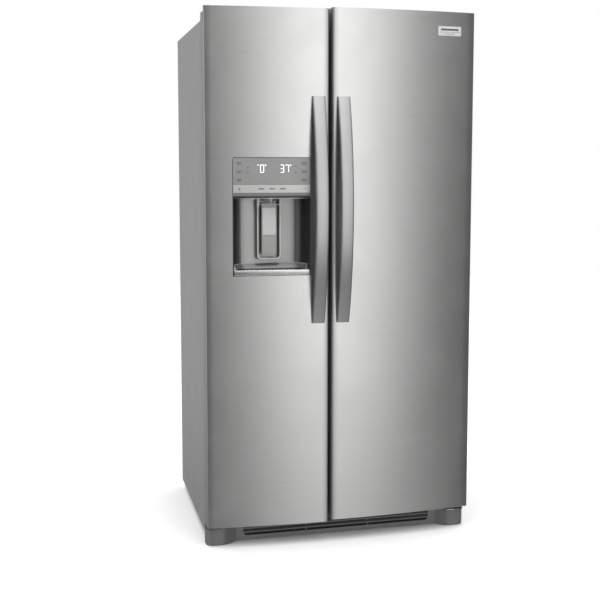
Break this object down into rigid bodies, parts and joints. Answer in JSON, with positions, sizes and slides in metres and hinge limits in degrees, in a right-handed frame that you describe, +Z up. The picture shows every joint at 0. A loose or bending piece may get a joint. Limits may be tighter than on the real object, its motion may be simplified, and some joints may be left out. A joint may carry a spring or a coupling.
{
  "type": "side by side refrigerator",
  "caption": "Free-standing side by side refrigerator with bowed stainless doors, arched handles, a door dispenser, shelves, drawers and its cooling parts.",
  "frame": {"origin": "middle of the footprint (bounding box) at floor level", "axes": "+Z up; the doors face -Y; +X towards the fresh food door"},
  "size_m": [0.9176, 0.7874, 1.7748],
  "materials": {
    "stainless": "satin",
    "cabinet_grey": "matte",
    "grey_moulding": "satin",
    "white_liner": "satin",
    "foam": "matte",
    "black_plastic": "matte",
    "zinc_steel": "satin",
    "gasket_rubber": "matte",
    "clear_plastic": "gloss",
    "shelf_glass": "gloss",
    "black_enamel": "gloss",
    "coil_metal": "satin",
    "display_face": "satin",
    "badge_metal": "satin",
    "rear_board": "matte"
  },
  "bodies": {
    "cabinet": {"cabinet_shell": "cabinet_grey", "cabinet_foam": "foam", "freezer_liner": "white_liner", "fresh_liner": "white_liner", "back_panel": "rear_board", "machine_cover": "rear_board", "base_frame": "zinc_steel", "toe_grille": "grey_moulding", "front_leg_left": "zinc_steel", "front_leg_right": "zinc_steel", "compressor": "black_enamel", "condenser": "black_enamel", "fan_shroud": "black_plastic", "evaporator": "coil_metal", "evaporator_cover": "white_liner", "top_hinge_left": "zinc_steel", "top_hinge_right": "zinc_steel", "hinge_cover_left": "cabinet_grey", "hinge_cover_right": "cabinet_grey", "bottom_hinge_left": "zinc_steel", "bottom_hinge_right": "zinc_steel", "fresh_shelf_upper": "shelf_glass", "fresh_shelf_middle": "shelf_glass", "fresh_shelf_lower": "shelf_glass", "crisper_shelf": "shelf_glass", "control_housing": "white_liner", "ice_maker": "white_liner", "freezer_shelf_upper": "shelf_glass", "freezer_shelf_lower": "shelf_glass"},
    "condenser_fan": {"condenser_fan": "black_plastic"},
    "evaporator_fan": {"evaporator_fan": "white_liner"},
    "rear_roller_left": {"rear_roller_left": "black_plastic"},
    "rear_roller_right": {"rear_roller_right": "black_plastic"},
    "crisper_upper": {"crisper_upper": "clear_plastic"},
    "crisper_lower": {"crisper_lower": "clear_plastic"},
    "ice_bin": {"ice_bin": "clear_plastic"},
    "freezer_basket_upper": {"freezer_basket_upper": "clear_plastic"},
    "freezer_basket_lower": {"freezer_basket_lower": "clear_plastic"},
    "freezer_door": {"freezer_door_skin": "stainless", "freezer_door_foam": "foam", "freezer_door_liner": "white_liner", "freezer_door_gasket": "gasket_rubber", "freezer_handle": "stainless", "freezer_bin_upper": "clear_plastic", "freezer_bin_lower": "clear_plastic", "dispenser_housing": "grey_moulding", "control_panel": "display_face", "drip_tray": "grey_moulding", "ice_chute": "grey_moulding"},
    "dispenser_paddle": {"dispenser_paddle": "grey_moulding"},
    "fresh_door": {"fresh_door_skin": "stainless", "fresh_door_foam": "foam", "fresh_door_liner": "white_liner", "fresh_door_gasket": "gasket_rubber", "fresh_handle": "stainless", "badge_plate": "badge_metal", "fresh_bin_upper": "clear_plastic", "fresh_bin_middle": "clear_plastic", "fresh_bin_lower": "clear_plastic"},
    "dairy_lid": {"dairy_lid": "clear_plastic"}
  },
  "joints": [
    {"name": "freezer_door_hinge", "type": "hinge", "parent": "cabinet", "child": "freezer_door", "pos_m": [-0.435, -0.275, 0.9], "axis": [0, 0, -1], "range_deg": [0, 115]},
    {"name": "fresh_door_hinge", "type": "hinge", "parent": "cabinet", "child": "fresh_door", "pos_m": [0.435, -0.275, 0.9], "axis": [0, 0, 1], "range_deg": [0, 115]},
    {"name": "paddle_press", "type": "hinge", "parent": "freezer_door", "child": "dispenser_paddle", "pos_m": [-0.242, -0.276, 1.14], "axis": [1, 0, 0], "range_deg": [0, 5.5], "stiffness_Nm_per_rad": 0.6},
    {"name": "dairy_lid_hinge", "type": "hinge", "parent": "fresh_door", "child": "dairy_lid", "pos_m": [0.2, -0.23, 1.592], "axis": [1, 0, 0], "range_deg": [0, 75]},
    {"name": "crisper_upper_slide", "type": "slide", "parent": "cabinet", "child": "crisper_upper", "axis": [0, -1, 0], "range_m": [0, 0.18]},
    {"name": "crisper_lower_slide", "type": "slide", "parent": "cabinet", "child": "crisper_lower", "axis": [0, -1, 0], "range_m": [0, 0.18]},
    {"name": "ice_bin_slide", "type": "slide", "parent": "cabinet", "child": "ice_bin", "axis": [0, -1, 0], "range_m": [0, 0.18]},
    {"name": "freezer_basket_upper_slide", "type": "slide", "parent": "cabinet", "child": "freezer_basket_upper", "axis": [0, -1, 0], "range_m": [0, 0.18]},
    {"name": "freezer_basket_lower_slide", "type": "slide", "parent": "cabinet", "child": "freezer_basket_lower", "axis": [0, -1, 0], "range_m": [0, 0.18]},
    {"name": "rear_roller_left_spin", "type": "hinge", "parent": "cabinet", "child": "rear_roller_left", "pos_m": [-0.36, 0.33, 0.0225], "axis": [1, 0, 0], "continuous": true},
    {"name": "rear_roller_right_spin", "type": "hinge", "parent": "cabinet", "child": "rear_roller_right", "pos_m": [0.36, 0.33, 0.0225], "axis": [1, 0, 0], "continuous": true},
    {"name": "condenser_fan_spin", "type": "hinge", "parent": "cabinet", "child": "condenser_fan", "pos_m": [0.105, 0.27, 0.125], "axis": [1, 0, 0], "continuous": true},
    {"name": "evaporator_fan_spin", "type": "hinge", "parent": "cabinet", "child": "evaporator_fan", "pos_m": [-0.245, 0.26, 0.975], "axis": [0, 1, 0], "continuous": true}
  ],
  "couplings": [
    {"joint": "crisper_upper_slide", "follows": "fresh_door_hinge", "m_per_rad": 0.08959},
    {"joint": "crisper_lower_slide", "follows": "fresh_door_hinge", "m_per_rad": 0.08959},
    {"joint": "ice_bin_slide", "follows": "freezer_door_hinge", "m_per_rad": 0.08959},
    {"joint": "freezer_basket_upper_slide", "follows": "freezer_door_hinge", "m_per_rad": 0.08959},
    {"joint": "freezer_basket_lower_slide", "follows": "freezer_door_hinge", "m_per_rad": 0.08959}
  ]
}
